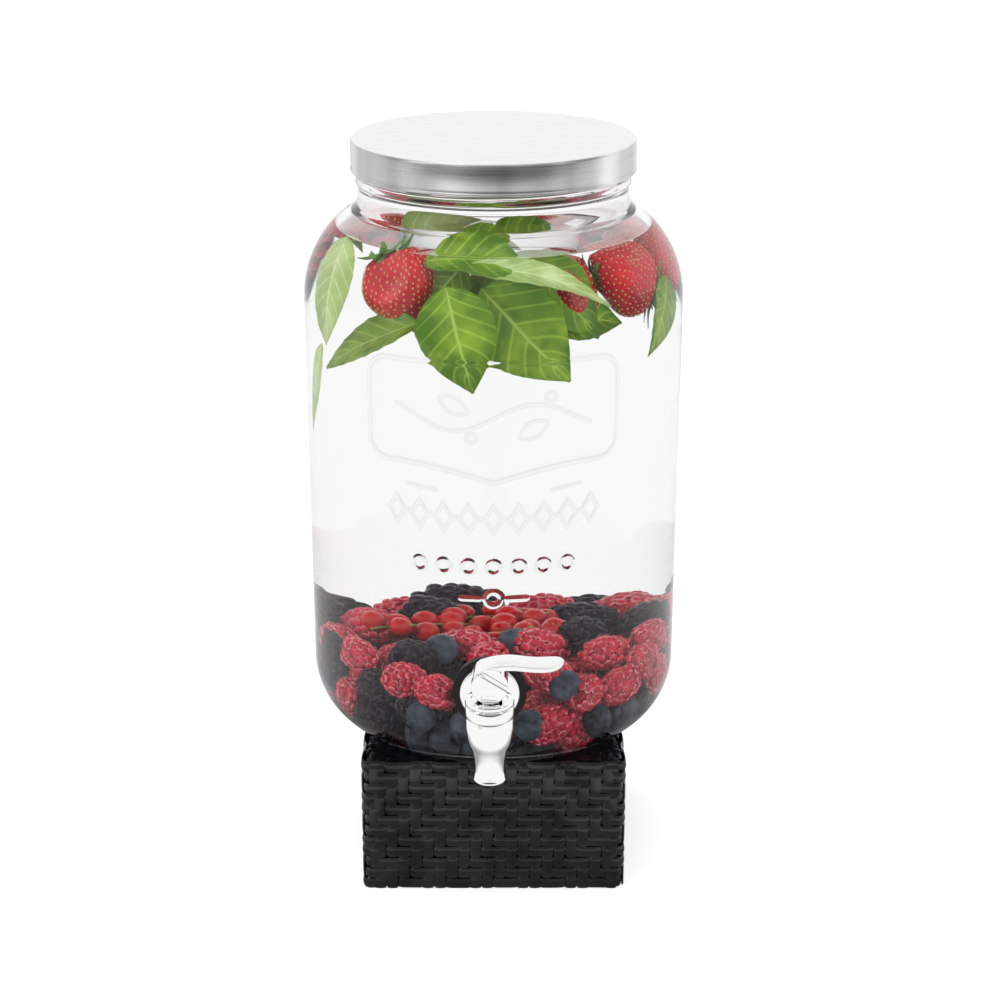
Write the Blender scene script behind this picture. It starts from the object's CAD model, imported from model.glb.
import math
import random

import bmesh
import bpy
import numpy as np
from mathutils import Euler, Matrix, Vector, noise


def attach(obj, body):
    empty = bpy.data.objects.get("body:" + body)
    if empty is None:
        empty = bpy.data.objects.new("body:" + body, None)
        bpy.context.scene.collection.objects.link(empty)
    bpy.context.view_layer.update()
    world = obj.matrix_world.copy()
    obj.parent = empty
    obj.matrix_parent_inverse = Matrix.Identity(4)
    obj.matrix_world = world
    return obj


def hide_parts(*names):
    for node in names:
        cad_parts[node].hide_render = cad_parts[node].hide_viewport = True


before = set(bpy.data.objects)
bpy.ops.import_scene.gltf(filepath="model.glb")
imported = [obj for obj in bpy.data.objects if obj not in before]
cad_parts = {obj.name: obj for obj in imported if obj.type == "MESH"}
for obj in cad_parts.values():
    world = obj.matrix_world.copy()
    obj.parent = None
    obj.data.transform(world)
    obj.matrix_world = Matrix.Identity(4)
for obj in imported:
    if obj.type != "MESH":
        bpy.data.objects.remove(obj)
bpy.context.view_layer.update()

print("frame loaded")


# ---- small helpers -------------------------------------------------------

def dropSelection():
    if bpy.context.object and bpy.context.object.mode != "OBJECT":
        bpy.ops.object.mode_set(mode="OBJECT")
    bpy.ops.object.select_all(action="DESELECT")


def hold(*pieces):
    dropSelection()
    for piece in pieces:
        piece.select_set(True)
    bpy.context.view_layer.objects.active = pieces[0]
    return pieces[0]


def settle(piece):
    # puts the object's place, turn and scale into its mesh
    hold(piece)
    bpy.ops.object.transform_apply(location=True, rotation=True, scale=True)
    return piece


def addModifier(piece, kind, **settings):
    mod = piece.modifiers.new(kind.title(), kind)
    for key, value in settings.items():
        setattr(mod, key, value)
    hold(piece)
    bpy.ops.object.modifier_apply(modifier=mod.name)
    return piece


def cutWith(piece, tool, operation="DIFFERENCE"):
    addModifier(piece, "BOOLEAN", object=tool, operation=operation, solver="EXACT")
    bpy.data.objects.remove(tool, do_unlink=True)
    return piece


def joinAll(pieces, name):
    hold(*pieces)
    if len(pieces) > 1:
        bpy.ops.object.join()
    joined = bpy.context.object
    joined.name = name
    joined.data.name = name
    return settle(joined)


def copyOf(piece):
    twin = piece.copy()
    twin.data = piece.data.copy()
    bpy.context.collection.objects.link(twin)
    return twin


def smooth(piece, angle=40):
    hold(piece)
    bpy.ops.object.shade_smooth_by_angle(angle=math.radians(angle))
    return piece


def tidyShell(piece, distance=1e-6):
    hold(piece)
    bpy.ops.object.mode_set(mode="EDIT")
    bpy.ops.mesh.select_all(action="SELECT")
    bpy.ops.mesh.remove_doubles(threshold=distance)
    bpy.ops.mesh.normals_make_consistent(inside=False)
    bpy.ops.object.mode_set(mode="OBJECT")
    return piece


def turned(name, outline, steps, place=(0, 0, 0), lean=None):
    # spins a ring of (radius, height) points round Z, then leans and places it
    dropSelection()
    bpy.ops.mesh.primitive_circle_add(vertices=len(outline), radius=0.05)
    piece = bpy.context.object
    piece.name = name
    writePoints(piece, [(r, 0, z) for r, z in outline])
    bpy.ops.object.mode_set(mode="EDIT")
    bpy.ops.mesh.select_all(action="SELECT")
    bpy.ops.mesh.spin(steps=steps, angle=math.tau, center=(0, 0, 0), axis=(0, 0, 1), use_auto_merge=True)
    bpy.ops.object.mode_set(mode="OBJECT")
    tidyShell(piece)
    if lean:
        piece.rotation_euler = lean
    piece.location = place
    return settle(piece)


def arcPoints(centre, radii, start, end, count):
    steps = [math.radians(start + (end - start) * i / count) for i in range(count + 1)]
    return [(centre[0] + radii[0] * math.cos(a), centre[1] + radii[1] * math.sin(a)) for a in steps]


def readPoints(piece):
    points = np.empty(len(piece.data.vertices) * 3)
    piece.data.vertices.foreach_get("co", points)
    return points.reshape(-1, 3)


def writePoints(piece, points):
    piece.data.vertices.foreach_set("co", np.asarray(points, dtype=np.float32).ravel())
    piece.data.update()


def softStep(value, low, high):
    t = np.clip((value - low) / (high - low), 0, 1)
    return t * t * (3 - 2 * t)


# ---- shader wiring -------------------------------------------------------

class Wire:
    # one shader socket; arithmetic on it adds Math nodes
    def __init__(self, paint, socket):
        self.paint = paint
        self.socket = socket

    def maths(self, operation, *others):
        return self.paint.node("ShaderNodeMath", {"operation": operation}, [self, *others])

    def flipped(self, operation, other):
        return self.paint.node("ShaderNodeMath", {"operation": operation}, [other, self])

    def __add__(self, other):
        return self.maths("ADD", other)

    def __radd__(self, other):
        return self.flipped("ADD", other)

    def __sub__(self, other):
        return self.maths("SUBTRACT", other)

    def __rsub__(self, other):
        return self.flipped("SUBTRACT", other)

    def __mul__(self, other):
        return self.maths("MULTIPLY", other)

    def __rmul__(self, other):
        return self.flipped("MULTIPLY", other)

    def __truediv__(self, other):
        return self.maths("DIVIDE", other)

    def __pow__(self, other):
        return self.maths("POWER", other)


class Paint:
    # a material round one Principled shader
    def __init__(self, name, **fixed):
        self.material = bpy.data.materials.new(name)
        self.material.use_nodes = True
        self.tree = self.material.node_tree
        self.shader = self.tree.nodes["Principled BSDF"]
        for key, value in fixed.items():
            self.shader.inputs[key.replace("_", " ")].default_value = value

    def node(self, kind, settings=None, inputs=(), output=0):
        made = self.tree.nodes.new(kind)
        for key, value in (settings or {}).items():
            if key == "stops":
                self.fillRamp(made.color_ramp, value)
            else:
                setattr(made, key, value)
        pairs = inputs.items() if isinstance(inputs, dict) else enumerate(inputs)
        for key, value in pairs:
            if isinstance(value, Wire):
                self.tree.links.new(value.socket, made.inputs[key])
            elif value is not None:
                made.inputs[key].default_value = value
        return Wire(self, made.outputs[output])

    def fillRamp(self, ramp, stops):
        while len(ramp.elements) < len(stops):
            ramp.elements.new(0.5)
        for element, (place, colour) in zip(ramp.elements, stops):
            element.position = place
            element.color = (*colour, 1)

    def feed(self, name, wire):
        self.tree.links.new(wire.socket, self.shader.inputs[name])
        return self

    def place(self):
        return self.node("ShaderNodeTexCoord", output="Object")

    def axes(self, vector=None):
        split = self.tree.nodes.new("ShaderNodeSeparateXYZ")
        self.tree.links.new((vector or self.place()).socket, split.inputs[0])
        return [Wire(self, split.outputs[i]) for i in range(3)]

    def stretched(self, scale, vector=None):
        return self.node("ShaderNodeMapping", None, {"Vector": vector or self.place(), "Scale": scale})

    def grain(self, scale, detail=2.0, roughness=0.5, vector=None):
        sockets = {"Vector": vector or self.place(), "Scale": scale, "Detail": detail, "Roughness": roughness}
        return self.node("ShaderNodeTexNoise", None, sockets)

    def cells(self, scale, feature="F1", vector=None):
        return self.node("ShaderNodeTexVoronoi", {"feature": feature}, {"Vector": vector or self.place(), "Scale": scale})

    def ramp(self, wire, stops):
        return self.node("ShaderNodeValToRGB", {"stops": stops}, [wire])

    def spread(self, wire, low, high, toLow=0.0, toHigh=1.0):
        return self.node("ShaderNodeMapRange", {"clamp": True}, [wire, low, high, toLow, toHigh])

    def blendColours(self, factor, first, second, mode="MIX"):
        made = self.tree.nodes.new("ShaderNodeMix")
        made.data_type = "RGBA"
        made.blend_type = mode
        for index, value in ((0, factor), (6, first), (7, second)):
            if isinstance(value, Wire):
                self.tree.links.new(value.socket, made.inputs[index])
            else:
                made.inputs[index].default_value = value if index == 0 else (*value, 1)
        return Wire(self, made.outputs[2])

    def bumps(self, height, distance, strength=1.0):
        return self.feed("Normal", self.node("ShaderNodeBump", None, {"Height": height, "Distance": distance, "Strength": strength}))


def lampsPass(paint, tint):
    # rays from lamps go straight through, so that what is behind the glass is lit
    path = paint.tree.nodes.new("ShaderNodeLightPath")
    clear = paint.tree.nodes.new("ShaderNodeBsdfTransparent")
    clear.inputs["Color"].default_value = (*tint, 1)
    mix = paint.tree.nodes.new("ShaderNodeMixShader")
    out = paint.tree.nodes["Material Output"]
    paint.tree.links.new(path.outputs["Is Shadow Ray"], mix.inputs[0])
    paint.tree.links.new(paint.shader.outputs[0], mix.inputs[1])
    paint.tree.links.new(clear.outputs[0], mix.inputs[2])
    paint.tree.links.new(mix.outputs[0], out.inputs["Surface"])


def glassFinish():
    # the flanks of the raised work bend light away from the white behind, so they read a little darker
    paint = Paint("clearGlass", Roughness=0.0, IOR=1.5, Transmission_Weight=1.0, Specular_Tint=(0.2, 0.2, 0.2, 1))
    flank = paint.node("ShaderNodeAttribute", {"attribute_name": "flank"}, output="Fac")
    paint.feed("Base Color", paint.blendColours(flank, (0.990, 0.994, 0.990), (0.80, 0.82, 0.81)))
    ripple = paint.grain(26, 1.0, vector=paint.stretched((1, 1, 0.35)))
    paint.bumps(ripple, 0.0006, 0.35)
    lampsPass(paint, (0.95, 0.97, 0.96))
    return paint.material


def waterFinish():
    paint = Paint("clearWater", Base_Color=(0.985, 0.992, 0.99, 1), Roughness=0.0, IOR=1.333,
                  Transmission_Weight=1.0, Specular_Tint=(0.4, 0.4, 0.4, 1))
    paint.bumps(paint.grain(34, 1.5), 0.0004, 0.25)
    lampsPass(paint, (0.97, 0.98, 0.98))
    return paint.material


def rattanFinish():
    paint = Paint("blackRattan", Specular_IOR_Level=0.22, Coat_Roughness=0.07)
    wide = paint.grain(60, 3.0)
    fine = paint.grain(900, 2.0)
    tone = paint.spread(wide, 0.3, 0.7)
    paint.feed("Base Color", paint.blendColours(tone, (0.0022, 0.0022, 0.0026), (0.0070, 0.0070, 0.0080)))
    paint.feed("Roughness", paint.spread(wide * 0.7 + fine * 0.3, 0.3, 0.7, 0.15, 0.28))
    paint.feed("Coat Weight", paint.spread(wide, 0.35, 0.6, 0.35, 0.8))
    paint.bumps(fine, 0.00004, 0.5)
    return paint.material


def chromeFinish():
    paint = Paint("tapChrome", Metallic=1.0, Base_Color=(0.96, 0.96, 0.955, 1))
    smear = paint.grain(55, 4.0, 0.6)
    paint.feed("Roughness", paint.spread(smear, 0.35, 0.75, 0.035, 0.10))
    paint.bumps(paint.grain(160, 1.0), 0.00003, 0.2)
    return paint.material


def lidFinish():
    # satin steel: fine lines run round the side and straight across the top, with broad soft bands
    paint = Paint("brushedLid", Metallic=1.0)
    x, y, z = paint.axes()
    angle = paint.node("ShaderNodeMath", {"operation": "ARCTAN2"}, [y, x])
    onTop = paint.spread(z, 0.4066, 0.4070)
    around = paint.grain(1.0, 3.0, 0.6, paint.node("ShaderNodeCombineXYZ", None, [angle * 1.5, z * 2200, 0.0]))
    straight = paint.grain(1.0, 3.0, 0.6, paint.node("ShaderNodeCombineXYZ", None, [x * 14, y * 1800, 0.0]))
    brushed = around * (1 - onTop) + straight * onTop
    bands = paint.grain(1.0, 1.5, 0.5, paint.node("ShaderNodeCombineXYZ", None, [angle * 2.3, 3.7, 0.0]))
    tone = paint.spread(bands * 0.80 * (1 - onTop) + onTop * 0.55 + brushed * 0.15, 0.34, 0.66)
    paint.feed("Base Color", paint.blendColours(tone, (0.27, 0.27, 0.275), (0.96, 0.96, 0.95)))
    paint.feed("Roughness", paint.spread(brushed, 0.3, 0.7, 0.24, 0.34))
    paint.bumps(brushed, 0.00003, 0.3)
    return paint.material


def plainFinish(name, low, high, scale, rough, metallic=0.0, relief=0.00004, **fixed):
    # two close tones over a grain, with roughness and relief from the same grain
    paint = Paint(name, Metallic=metallic, **fixed)
    grain = paint.grain(scale, 4.0, 0.6)
    tone = paint.spread(grain, 0.3, 0.7)
    paint.feed("Base Color", paint.blendColours(tone, low, high))
    paint.feed("Roughness", paint.spread(grain, 0.3, 0.7, rough[0], rough[1]))
    paint.bumps(grain, relief, 0.5)
    return paint.material


glassPaint = glassFinish()
waterPaint = waterFinish()
rattanPaint = rattanFinish()
chromePaint = chromeFinish()
lidPaint = lidFinish()
rubberPaint = plainFinish("blackRubber", (0.006, 0.006, 0.006), (0.016, 0.016, 0.016), 400, (0.3, 0.5),
                          Specular_IOR_Level=0.2)
brassPaint = plainFinish("nickelBrass", (0.60, 0.56, 0.48), (0.76, 0.73, 0.66), 300, (0.22, 0.35), 1.0)
steelPaint = plainFinish("stemSteel", (0.55, 0.54, 0.52), (0.70, 0.69, 0.67), 500, (0.18, 0.32), 1.0)
siliconePaint = plainFinish("clearSilicone", (0.70, 0.70, 0.68), (0.84, 0.84, 0.82), 300, (0.4, 0.55))
linerPaint = plainFinish("whiteLiner", (0.80, 0.80, 0.78), (0.88, 0.88, 0.86), 260, (0.45, 0.6))
boardPaint = plainFinish("blackBoard", (0.018, 0.016, 0.015), (0.045, 0.041, 0.038), 120, (0.6, 0.8))
footPaint = plainFinish("glassFoot", (0.50, 0.58, 0.54), (0.80, 0.88, 0.84), 60, (0.15, 0.3), 0.0, 0.00002)
print("finishes made")


def dress(piece, material, body, slot=None, *stoodFor):
    piece.data.materials.clear()
    piece.data.materials.append(material)
    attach(piece, body)
    if stoodFor:
        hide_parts(*stoodFor)
    return piece


# ---- riser: real over-and-under strands ----------------------------------

riser = {
    "half": 0.0726,
    "height": 0.0775,
    "columns": 22,
    "rows": 12,
    "corner": 0.0036,
    "strandWide": 0.0059,
    "strandThick": 0.00085,
    "crown": 0.00060,
    "swing": 0.00070,      # how far a strand moves in and out as it weaves
    "inset": 0.00125,      # the weave's middle, under the riser's outer size
    "samples": 4,
}


def isOver(column, row):
    return 1.0 if (column + row) % 4 in (0, 1) else -1.0


def swingAlong(cellValues, closed):
    # a smooth run through the over and under values of the cells, in samples per cell
    n = len(cellValues)
    samples = riser["samples"]
    count = n * samples + (0 if closed else 1)
    at = np.arange(count) / samples - 0.5
    low = np.floor(at).astype(int)
    part = at - low
    ease = part * part * (3 - 2 * part)
    values = np.array(cellValues)
    first = values[low % n] if closed else values[np.clip(low, 0, n - 1)]
    second = values[(low + 1) % n] if closed else values[np.clip(low + 1, 0, n - 1)]
    return np.clip((first * (1 - ease) + second * ease) * 1.35, -1, 1)


def strand(centres, outs, sides, width, closed):
    # a flat ribbon laid along a path, crowned across its width, then given its thickness
    across = 4
    rings = len(centres) + (1 if closed else 0)
    bpy.ops.mesh.primitive_grid_add(x_subdivisions=rings - 1, y_subdivisions=across, size=2)
    ribbon = bpy.context.object
    points = readPoints(ribbon)
    ring = np.rint((points[:, 0] + 1) / 2 * (rings - 1)).astype(int) % len(centres)
    share = points[:, 1:2]
    crown = riser["crown"] * (0.35 - np.abs(share) ** 2.5)
    writePoints(ribbon, np.array(centres)[ring] + np.array(sides)[ring] * share * width / 2 + np.array(outs)[ring] * crown)
    tidyShell(ribbon)
    addModifier(ribbon, "SOLIDIFY", thickness=riser["strandThick"], offset=0.0)
    return ribbon


def bandPath():
    # once round the riser's four sides, by cells: a point and an outward direction for each sample
    half = riser["half"] - riser["inset"]
    cells = riser["columns"]
    samples = riser["samples"]
    corner = riser["corner"]
    places, outs = [], []
    for side in range(4):
        turn = Matrix.Rotation(side * math.pi / 2, 3, "Z")
        for i in range(cells * samples):
            t = (i + 0.0) / (cells * samples) * 2 - 1
            x = t * half
            over = abs(x) - (half - corner)
            if over > 0:
                angle = over / corner * math.pi / 4
                reach = half - corner
                sign = 1 if x > 0 else -1
                out = Vector((sign * math.sin(angle), -math.cos(angle), 0))
                place = Vector((sign * reach, -reach, 0)) + out * corner
            else:
                out = Vector((0, -1, 0))
                place = Vector((x, -half, 0))
            places.append(turn @ place)
            outs.append(turn @ out)
    return places, outs


def hoopPath():
    # up the front, over the top and down the back, in the YZ plane
    half = riser["half"] - riser["inset"]
    top = riser["height"] - riser["inset"]
    samples = riser["samples"]
    corner = riser["corner"]
    places, outs = [], []
    sideCount = riser["rows"] * samples
    topCount = riser["columns"] * samples
    for i in range(sideCount * 2 + topCount + 1):
        if i < sideCount:
            y, z = -half, top * i / sideCount
        elif i <= sideCount + topCount:
            y, z = -half + 2 * half * (i - sideCount) / topCount, top
        else:
            y, z = half, top * (1 - (i - sideCount - topCount) / sideCount)
        z = max(z, 0.0004)
        out = Vector((0, 0, 1)) if sideCount < i < sideCount + topCount else Vector((0, math.copysign(1, y), 0))
        place = Vector((0, y, z))
        centreY = math.copysign(half - corner, y)
        if abs(y) > half - corner and z > top - corner:
            away = Vector((0, y - centreY, z - (top - corner)))
            out = away.normalized()
            place = Vector((0, centreY, top - corner)) + out * corner
        places.append(place)
        outs.append(out)
    return places, outs


def weaveBands(rng):
    places, outs = bandPath()
    columns, rows = riser["columns"], riser["rows"]
    pitch = riser["height"] / rows
    bands = []
    for row in range(rows):
        down = rows - 1 - row
        swing = swingAlong([-isOver(c, down) for c in range(columns * 4)], True)
        z = pitch * (row + 0.5) + rng.uniform(-0.00018, 0.00018)
        width = min(riser["strandWide"], pitch) * rng.uniform(0.90, 0.97)
        wander = [noise.noise(Vector((i * 0.045, row * 3.1, 0))) * 0.0004 for i in range(len(places))]
        centres = [p + o * (riser["swing"] * s) + Vector((0, 0, z + w)) for p, o, s, w in zip(places, outs, swing, wander)]
        bands.append(strand(centres, outs, [Vector((0, 0, 1))] * len(centres), width, True))
    return smooth(joinAll(bands, "riserBands"), 50)


def weaveHoops(rng):
    places, outs = hoopPath()
    columns, rows = riser["columns"], riser["rows"]
    pitch = riser["half"] * 2 / columns
    hoops = []
    for leftToRight in (False, True):
        turn = Matrix.Rotation(math.pi / 2, 3, "Z") if leftToRight else Matrix.Identity(3)
        for i in range(columns):
            if leftToRight:
                near = [isOver(columns + i, rows - 1 - r) for r in range(rows)]
                over = [-isOver(columns - 1 - j, i) for j in range(columns)]
                far = [isOver(columns * 3 + columns - 1 - i, r) for r in range(rows)]
            else:
                near = [isOver(i, rows - 1 - r) for r in range(rows)]
                over = [isOver(i, j) for j in range(columns)]
                far = [isOver(columns * 2 + columns - 1 - i, r) for r in range(rows)]
            swing = swingAlong(near + over + far, False)
            keep = (1.0 - 1.2 / columns) if i in (0, columns - 1) else 1.0
            x = (-riser["half"] + pitch * (i + 0.5) + rng.uniform(-0.00020, 0.00020)) * keep
            width = riser["strandWide"] * rng.uniform(0.90, 0.98)
            wander = [noise.noise(Vector((k * 0.05, i * 2.7 + 40, 5))) * 0.0004 for k in range(len(places))]
            centres = [turn @ (p + o * (riser["swing"] * s) + Vector((x + w, 0, 0)))
                       for p, o, s, w in zip(places, outs, swing, wander)]
            sides = [turn @ Vector((1, 0, 0))] * len(centres)
            hoops.append(strand(centres, [turn @ o for o in outs], sides, width, False))
    return smooth(joinAll(hoops, "riserHoops"), 50)


def makeRiser():
    rng = random.Random(4)
    dress(weaveBands(rng), rattanPaint, "riser", "black_rattan", "front_weave", "back_weave", "left_weave", "right_weave")
    dress(weaveHoops(rng), rattanPaint, "riser", "black_rattan", "top_weave")


# ---- glass jar -----------------------------------------------------------

jar = {
    "base": 0.0778,
    "footR": 0.0654,
    "pushUpR": 0.0480,
    "pushUp": 0.0030,
    "heelR": 0.1010,
    "heelHeight": 0.0375,
    "wallR": 0.1020,
    "wallTop": 0.3218,
    "shoulderCentre": 0.0500,
    "shoulderHeight": 0.0553,
    "neckR": 0.0720,
    "neckBottom": 0.3790,
    "beadHigh": 0.0013,
    "threadLow": 0.3900,
    "threadPitch": 0.0060,
    "rimTop": 0.4030,
    "wall": 0.0045,
    "neckWall": 0.0055,
    "floor": 0.0090,
    "columns": 160,
    "waterTop": 0.3590,
    "reliefHigh": 0.00105,
}


def jarOuterLine():
    j = jar
    base = [(0, j["base"] + j["pushUp"]), (j["pushUpR"] * 0.5, j["base"] + j["pushUp"] * 0.96),
            (j["pushUpR"] * 0.85, j["base"] + j["pushUp"] * 0.7), (j["pushUpR"], j["base"] + 0.0010),
            (j["pushUpR"] + 0.0030, j["base"])]
    heel = arcPoints((j["footR"], j["base"] + j["heelHeight"]), (j["heelR"] - j["footR"], j["heelHeight"]), -90, 0, 22)
    wallCount = 56
    low = j["base"] + j["heelHeight"]
    wall = [(j["heelR"] + (j["wallR"] - j["heelR"]) * i / wallCount, low + (j["wallTop"] - low) * i / wallCount)
            for i in range(1, wallCount)]
    shoulder = arcPoints((j["shoulderCentre"], j["wallTop"]), (j["wallR"] - j["shoulderCentre"], j["shoulderHeight"]), 0, 62, 22)
    neckR = j["neckR"]
    fillet = [(neckR + 0.0018, 0.3723), (neckR + 0.0008, 0.3745), (neckR + 0.0002, 0.3770), (neckR, j["neckBottom"])]
    beadZ = 0.3845
    bead = [(neckR, beadZ - 0.0024)]
    bead += [(neckR + j["beadHigh"] * math.sin(math.pi * i / 8), beadZ - 0.002 + 0.004 * i / 8) for i in range(1, 8)]
    bead += [(neckR, beadZ + 0.0024)]
    count = 20
    neckLow = beadZ + 0.0030
    threads = [(neckR, neckLow + (j["rimTop"] - 0.0024 - neckLow) * i / count) for i in range(count + 1)]
    rim = arcPoints((neckR - 0.002, j["rimTop"] - 0.002), (0.002, 0.002), 0, 90, 5)
    return base + heel[:-1] + [(j["heelR"], low)] + wall + shoulder + fillet + bead + threads + rim


def jarInnerLine(extra=0.0):
    # from the lip down to the middle of the floor; extra moves it into the glass
    j = jar
    neckR = j["neckR"] - j["neckWall"] + extra
    wallR = j["wallR"] - j["wall"] + extra
    heelR = j["heelR"] - j["wall"] + extra
    floorZ = j["base"] + j["floor"] - extra
    lip = arcPoints((neckR + 0.002, j["rimTop"] - 0.002), (0.002, 0.002), 90, 180, 5)
    neck = [(neckR, 0.3935), (neckR, 0.3860), (neckR, j["neckBottom"])]
    shoulder = arcPoints((j["shoulderCentre"], j["wallTop"]), (wallR - j["shoulderCentre"], j["shoulderHeight"] - j["wall"] + extra), 66, 0, 20)
    heelHigh = j["heelHeight"] - j["floor"] * 0.5
    innerFoot = j["footR"] - 0.006
    heel = arcPoints((innerFoot, floorZ + heelHigh), (heelR - innerFoot, heelHigh), 0, -90, 18)
    return lip, neck, shoulder, heel + [(innerFoot * 0.5, floorZ + 0.0006), (0, floorZ + 0.0012)]


def ridge(distance, width):
    return np.cos(np.clip(np.abs(distance) / width, 0, 1) * math.pi / 2) ** 1.5


def segmentGap(u, z, a, b):
    along = np.array(b) - np.array(a)
    t = np.clip(((u - a[0]) * along[0] + (z - a[1]) * along[1]) / (along @ along), 0, 1)
    return np.hypot(u - a[0] - along[0] * t, z - a[1] - along[1] * t)


def plaqueGap(u, z):
    # a rounded frame whose lower edge dips to a point in the middle, all in millimetres
    soft = 11.0
    t = np.clip(np.abs(u) / 50, 0, 1)
    bottom = 248.5 + 9.0 * (1 - (1 - t) ** 1.9)
    side = np.abs(u) - (68.0 - soft)
    height = np.maximum(z - (311.5 - soft), bottom + soft - z)
    outside = np.hypot(np.maximum(side, 0), np.maximum(height, 0))
    inside = np.minimum(np.maximum(side, height), 0)
    pointed = np.where(np.abs(u) < 50, bottom - z, 99)
    return np.where((np.abs(u) < 50) & (z < 270), pointed * 0.94, outside + inside - soft)


def leafGap(u, z, centre, length, width, angle):
    # the outline of a pointed leaf
    c, s = math.cos(angle), math.sin(angle)
    a = (u - centre[0]) * c + (z - centre[1]) * s
    b = -(u - centre[0]) * s + (z - centre[1]) * c
    half = width * np.clip(1 - (2 * a / length) ** 2, 0, 1)
    edge = np.abs(np.abs(b) - half)
    away = np.maximum(np.abs(a) - length / 2, 0)
    return np.hypot(edge, away * 3)


def reliefHeight(u, z):
    # raised lines on the glass: a plaque with a vine, a run of lozenges, a run of rings and a short rule
    high = ridge(plaqueGap(u, z), 1.7)
    vine = 283 + 7.0 * np.sin(u / 13.0)
    slope = 7.0 / 13.0 * np.cos(u / 13.0)
    onVine = np.where(np.abs(u) < 52, np.abs(z - vine) / np.sqrt(1 + slope ** 2), 99)
    parts = [(onVine, 1.3)]
    for i in range(-3, 4):
        top = 13.0 * (math.pi / 2 + i * math.pi)
        if abs(top) < 50:
            up = 1 if i % 2 == 0 else -1
            parts.append((leafGap(u, z, (top, 283 - up * 6.5), 17, 4.2, 0.5 * up), 1.2))
            parts.append((np.abs(np.hypot(u - top - 9, z - 283 - up * 10.5) - 2.6), 1.2))
    for i in range(9):
        x = -52 + 13 * i
        middle = 228.6 + 2.4 * (x / 55) ** 2
        lozenge = np.abs(u - x) / 4.6 + np.abs(z - middle) / 7.4
        parts.append((np.abs(lozenge - 1) * 3.9, 1.3))
        if i < 8:
            parts.append((np.hypot(u - x - 6.5, z - middle - 0.1) * 0.8, 1.6))
    for i in range(7):
        parts.append((np.abs(np.hypot(u + 39 - 13 * i, z - 202.5) - 3.6), 1.2))
    for side in (-1, 1):
        parts.append((segmentGap(u, z, (side * 7, 185), (side * 17, 185)), 1.3))
        parts.append((segmentGap(u, z, (side * 30, 243.5), (side * 46, 245.5)), 1.1))
    parts.append((np.abs(np.hypot(u, z - 185) - 4.0), 1.3))
    for gap, width in parts:
        high = np.maximum(high, ridge(gap, width) * 0.85)
    return high


def makeJar():
    j = jar
    lip, neck, shoulder, floorLine = jarInnerLine()
    low, high = j["base"] + j["heelHeight"], j["wallTop"]
    inner = lip + neck + shoulder
    count = 20
    lastR, lastZ = shoulder[-1]
    nextR, nextZ = floorLine[0]
    inner += [(lastR + (nextR - lastR) * i / count, lastZ + (nextZ - lastZ) * i / count) for i in range(1, count)]
    inner += floorLine
    piece = turned("glassJar", jarOuterLine() + inner, j["columns"])

    # more faces on the outside of the wall, where the raised work is
    hold(piece)
    mesh = piece.data
    reliefLow, reliefHigh, sweep = 0.1755, 0.3180, math.radians(45)
    for face in mesh.polygons:
        c = face.center
        outside = math.hypot(c.x, c.y) > j["heelR"] - j["wall"] * 0.4
        angle = math.atan2(c.x, -c.y)
        face.select = outside and reliefLow < c.z < reliefHigh and abs(angle) < sweep
    for edge in mesh.edges:
        edge.select = False
    for vertex in mesh.vertices:
        vertex.select = False
    bpy.ops.object.mode_set(mode="EDIT")
    bpy.ops.mesh.select_mode(type="FACE")
    bpy.ops.mesh.subdivide(number_cuts=5)
    bpy.ops.object.mode_set(mode="OBJECT")

    points = readPoints(piece)
    radius = np.hypot(points[:, 0], points[:, 1])
    z = points[:, 2]
    angle = np.arctan2(points[:, 0], -points[:, 1])
    onWall = (radius > j["heelR"] - j["wall"] * 0.4) & (z > reliefLow - 0.002) & (z < reliefHigh + 0.002)
    onWall &= np.abs(angle) < sweep + 0.02
    trueR = j["heelR"] + (j["wallR"] - j["heelR"]) * (z - low) / (high - low)
    raised = reliefHeight(angle * 101.7, z * 1000) * j["reliefHigh"]
    newR = np.where(onWall, trueR + raised, radius)

    # the thread winds one and a half times round the neck
    turnShare = (angle + math.pi) / math.tau
    for lap in range(3):
        middle = j["threadLow"] + j["threadPitch"] * (turnShare + lap - 0.5)
        onThread = (radius > j["neckR"] - 0.0004) & (z > j["threadLow"] - 0.0015) & (z < j["rimTop"] - 0.0028)
        newR = newR + np.where(onThread, ridge(z - middle, 0.0014) * 0.0011, 0)
    grow = np.where(radius > 1e-6, newR / np.maximum(radius, 1e-6), 1)
    points[:, 0] *= grow
    points[:, 1] *= grow
    writePoints(piece, points)

    bpy.ops.mesh.primitive_cylinder_add(vertices=64, radius=0.0080, depth=0.02, location=(tap["x"], -0.0985, tap["shankZ"]),
                                        rotation=(math.pi / 2, 0, 0))
    cutWith(piece, bpy.context.object)
    smooth(piece, 60)

    points = readPoints(piece)
    radius = np.hypot(points[:, 0], points[:, 1])
    u, z = np.arctan2(points[:, 0], -points[:, 1]) * 101.7, points[:, 2] * 1000
    onWall = (radius > j["heelR"] - j["wall"] * 0.4) & (np.abs(u) < 80) & (z > 175) & (z < 318)
    steep = np.hypot(reliefHeight(u + 0.4, z) - reliefHeight(u - 0.4, z), reliefHeight(u, z + 0.4) - reliefHeight(u, z - 0.4))
    flank = piece.data.attributes.new("flank", "FLOAT", "POINT")
    flank.data.foreach_set("value", np.where(onWall, np.clip(steep * 1.6, 0, 1), 0).astype(np.float32))
    return dress(piece, glassPaint, "jar", "clear_glass", "glass_jar")


def makeFootRing():
    # the thick edge of the glass under the jar catches the light
    section = arcPoints((jar["footR"] + 0.0026, jar["base"] + 0.0011), (0.0008, 0.00045), 0, 330, 11)
    piece = smooth(turned("footRing", section, 128), 60)
    return dress(piece, footPaint, "jar")


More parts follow.
